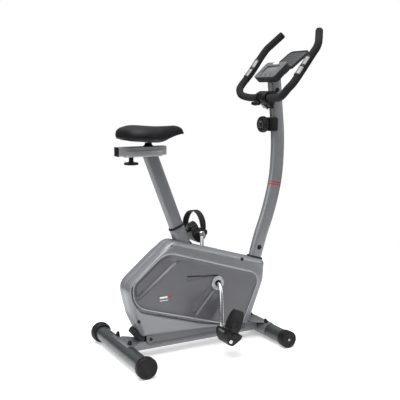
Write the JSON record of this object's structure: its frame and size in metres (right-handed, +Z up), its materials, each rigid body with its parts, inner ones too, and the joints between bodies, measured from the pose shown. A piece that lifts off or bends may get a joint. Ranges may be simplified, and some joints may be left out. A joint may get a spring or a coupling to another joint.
{
  "type": "exercise bike",
  "caption": "Upright magnetic exercise bike: enclosed flywheel and crank on a steel base, sliding saddle post, curved mast, foam handlebar and tilted console.",
  "frame": {"origin": "on the floor, below the crank axle, in the middle of the footprint's box", "axes": "+X forward to the handlebar, +Y to the rider's left, +Z up"},
  "size_m": [0.9091, 0.5, 1.3333],
  "materials": {
    "silver_paint": "silver-grey metallic paint, satin",
    "dark_paint": "dark grey metallic paint, satin",
    "cover_plastic": "silver-grey metallic lacquer over moulded plastic",
    "black_plastic": "black moulded plastic, fine texture",
    "foam": "charcoal closed-cell foam",
    "vinyl": "black upholstery vinyl, satin",
    "chrome": "polished chrome plating",
    "steel": "machined steel",
    "cast_iron": "turned cast iron",
    "strap_rubber": "black flexible rubber",
    "grey_plastic": "mid-grey moulded plastic",
    "lens": "grey-green display window"
  },
  "bodies": {
    "frame": {"base_tube": "silver_paint", "rear_cradle": "silver_paint", "front_cradle": "silver_paint", "mast": "silver_paint", "seat_tube": "silver_paint", "rear_stabilizer": "dark_paint", "front_stabilizer": "dark_paint", "front_post": "dark_paint", "bb_shell": "dark_paint", "fork_plate_right": "dark_paint", "fork_plate_left": "dark_paint", "right_cover": "cover_plastic", "left_cover": "cover_plastic", "rear_cap_right": "black_plastic", "rear_cap_left": "black_plastic", "front_collar_right": "black_plastic", "front_collar_left": "black_plastic", "post_bushing": "black_plastic", "tail_cap": "black_plastic", "tension_box": "black_plastic", "clamp_cover": "black_plastic", "console_case": "black_plastic", "bearing_cup_right": "steel", "bearing_cup_left": "steel", "flywheel_axle": "steel", "drive_belt": "strap_rubber", "tension_cable": "strap_rubber", "crank_ring_right": "grey_plastic", "crank_ring_left": "grey_plastic", "console_face": "grey_plastic", "tablet_rest": "grey_plastic", "console_lens": "lens"},
    "crankset": {"crank": "chrome", "crank_pulley": "black_plastic"},
    "pedal_right_body": {"pedal_right": "black_plastic", "pedal_strap_right": "strap_rubber"},
    "pedal_left_body": {"pedal_left": "black_plastic", "pedal_strap_left": "strap_rubber"},
    "flywheel_body": {"flywheel": "cast_iron"},
    "magnet_body": {"magnet_carrier": "steel"},
    "tension_knob_body": {"tension_knob": "black_plastic"},
    "seat_post_body": {"seat_post": "silver_paint", "slide_sleeve": "silver_paint"},
    "seat_slider_body": {"slider_tube": "silver_paint", "slider_cap": "black_plastic", "saddle_clamp": "black_plastic", "saddle": "vinyl"},
    "slider_knob_body": {"slider_knob": "black_plastic"},
    "seat_pin_body": {"seat_pin_knob": "black_plastic"},
    "handlebar_body": {"handlebar_tube": "steel", "grip_right": "foam", "grip_left": "foam", "pulse_sensor_right": "chrome", "pulse_sensor_left": "chrome"},
    "clamp_lever_body": {"clamp_lever": "black_plastic"},
    "wheel_right_body": {"transport_wheel_right": "black_plastic"},
    "wheel_left_body": {"transport_wheel_left": "black_plastic"},
    "button_1_body": {"console_button_1": "black_plastic"},
    "button_2_body": {"console_button_2": "black_plastic"},
    "button_3_body": {"console_button_3": "black_plastic"}
  },
  "joints": [
    {"name": "crank_spin", "type": "hinge", "parent": "frame", "child": "crankset", "pos_m": [0, 0, 0.2756], "axis": [0, 1, 0], "continuous": true},
    {"name": "pedal_right_spin", "type": "hinge", "parent": "crankset", "child": "pedal_right_body", "pos_m": [-0.02449, -0.1885, 0.10131], "axis": [0, 1, 0], "continuous": true},
    {"name": "pedal_left_spin", "type": "hinge", "parent": "crankset", "child": "pedal_left_body", "pos_m": [0.02449, 0.1885, 0.44989], "axis": [0, 1, 0], "continuous": true},
    {"name": "flywheel_spin", "type": "hinge", "parent": "frame", "child": "flywheel_body", "pos_m": [-0.23, 0, 0.275], "axis": [0, 1, 0], "continuous": true},
    {"name": "tension_turn", "type": "hinge", "parent": "frame", "child": "tension_knob_body", "pos_m": [0.25, 0, 0.92875], "axis": [1, 0, 0], "range_deg": [0, 300]},
    {"name": "magnet_swing", "type": "hinge", "parent": "frame", "child": "magnet_body", "pos_m": [-0.339, 0, 0.235], "axis": [0, 1, 0], "range_deg": [0, 8]},
    {"name": "seat_height", "type": "slide", "parent": "frame", "child": "seat_post_body", "axis": [-0.3593, 0, 0.9332], "range_m": [-0.12, 0.05]},
    {"name": "seat_reach", "type": "slide", "parent": "seat_post_body", "child": "seat_slider_body", "axis": [1, 0, 0], "range_m": [-0.025, 0.025]},
    {"name": "slider_knob_turn", "type": "hinge", "parent": "seat_post_body", "child": "slider_knob_body", "pos_m": [-0.361, 0, 0.79], "axis": [0, 0, 1], "range_deg": [-180, 180]},
    {"name": "seat_pin_pull", "type": "slide", "parent": "frame", "child": "seat_pin_body", "axis": [0.9332, 0, 0.3593], "range_m": [0, 0.01], "stiffness_N_per_m": 1500},
    {"name": "handlebar_tilt", "type": "hinge", "parent": "frame", "child": "handlebar_body", "pos_m": [0.254, 0, 1.041], "axis": [0, 1, 0], "range_deg": [-20, 20]},
    {"name": "clamp_lever_turn", "type": "hinge", "parent": "frame", "child": "clamp_lever_body", "pos_m": [0.235, 0, 1.0175], "axis": [1, 0, 0], "range_deg": [-180, 180]},
    {"name": "wheel_right_spin", "type": "hinge", "parent": "frame", "child": "wheel_right_body", "pos_m": [0.252, -0.2105, 0.036], "axis": [0, 1, 0], "continuous": true},
    {"name": "wheel_left_spin", "type": "hinge", "parent": "frame", "child": "wheel_left_body", "pos_m": [0.252, 0.2105, 0.036], "axis": [0, 1, 0], "continuous": true},
    {"name": "button_1_press", "type": "slide", "parent": "frame", "child": "button_1_body", "axis": [0.6672, 0, -0.7449], "range_m": [0, 0.0012], "stiffness_N_per_m": 300},
    {"name": "button_2_press", "type": "slide", "parent": "frame", "child": "button_2_body", "axis": [0.6672, 0, -0.7449], "range_m": [0, 0.0012], "stiffness_N_per_m": 300},
    {"name": "button_3_press", "type": "slide", "parent": "frame", "child": "button_3_body", "axis": [0.6672, 0, -0.7449], "range_m": [0, 0.0012], "stiffness_N_per_m": 300}
  ],
  "couplings": [
    {"joint": "flywheel_spin", "follows": "crank_spin", "ratio": 5.5882},
    {"joint": "magnet_swing", "follows": "tension_turn", "ratio": 0.0266}
  ]
}
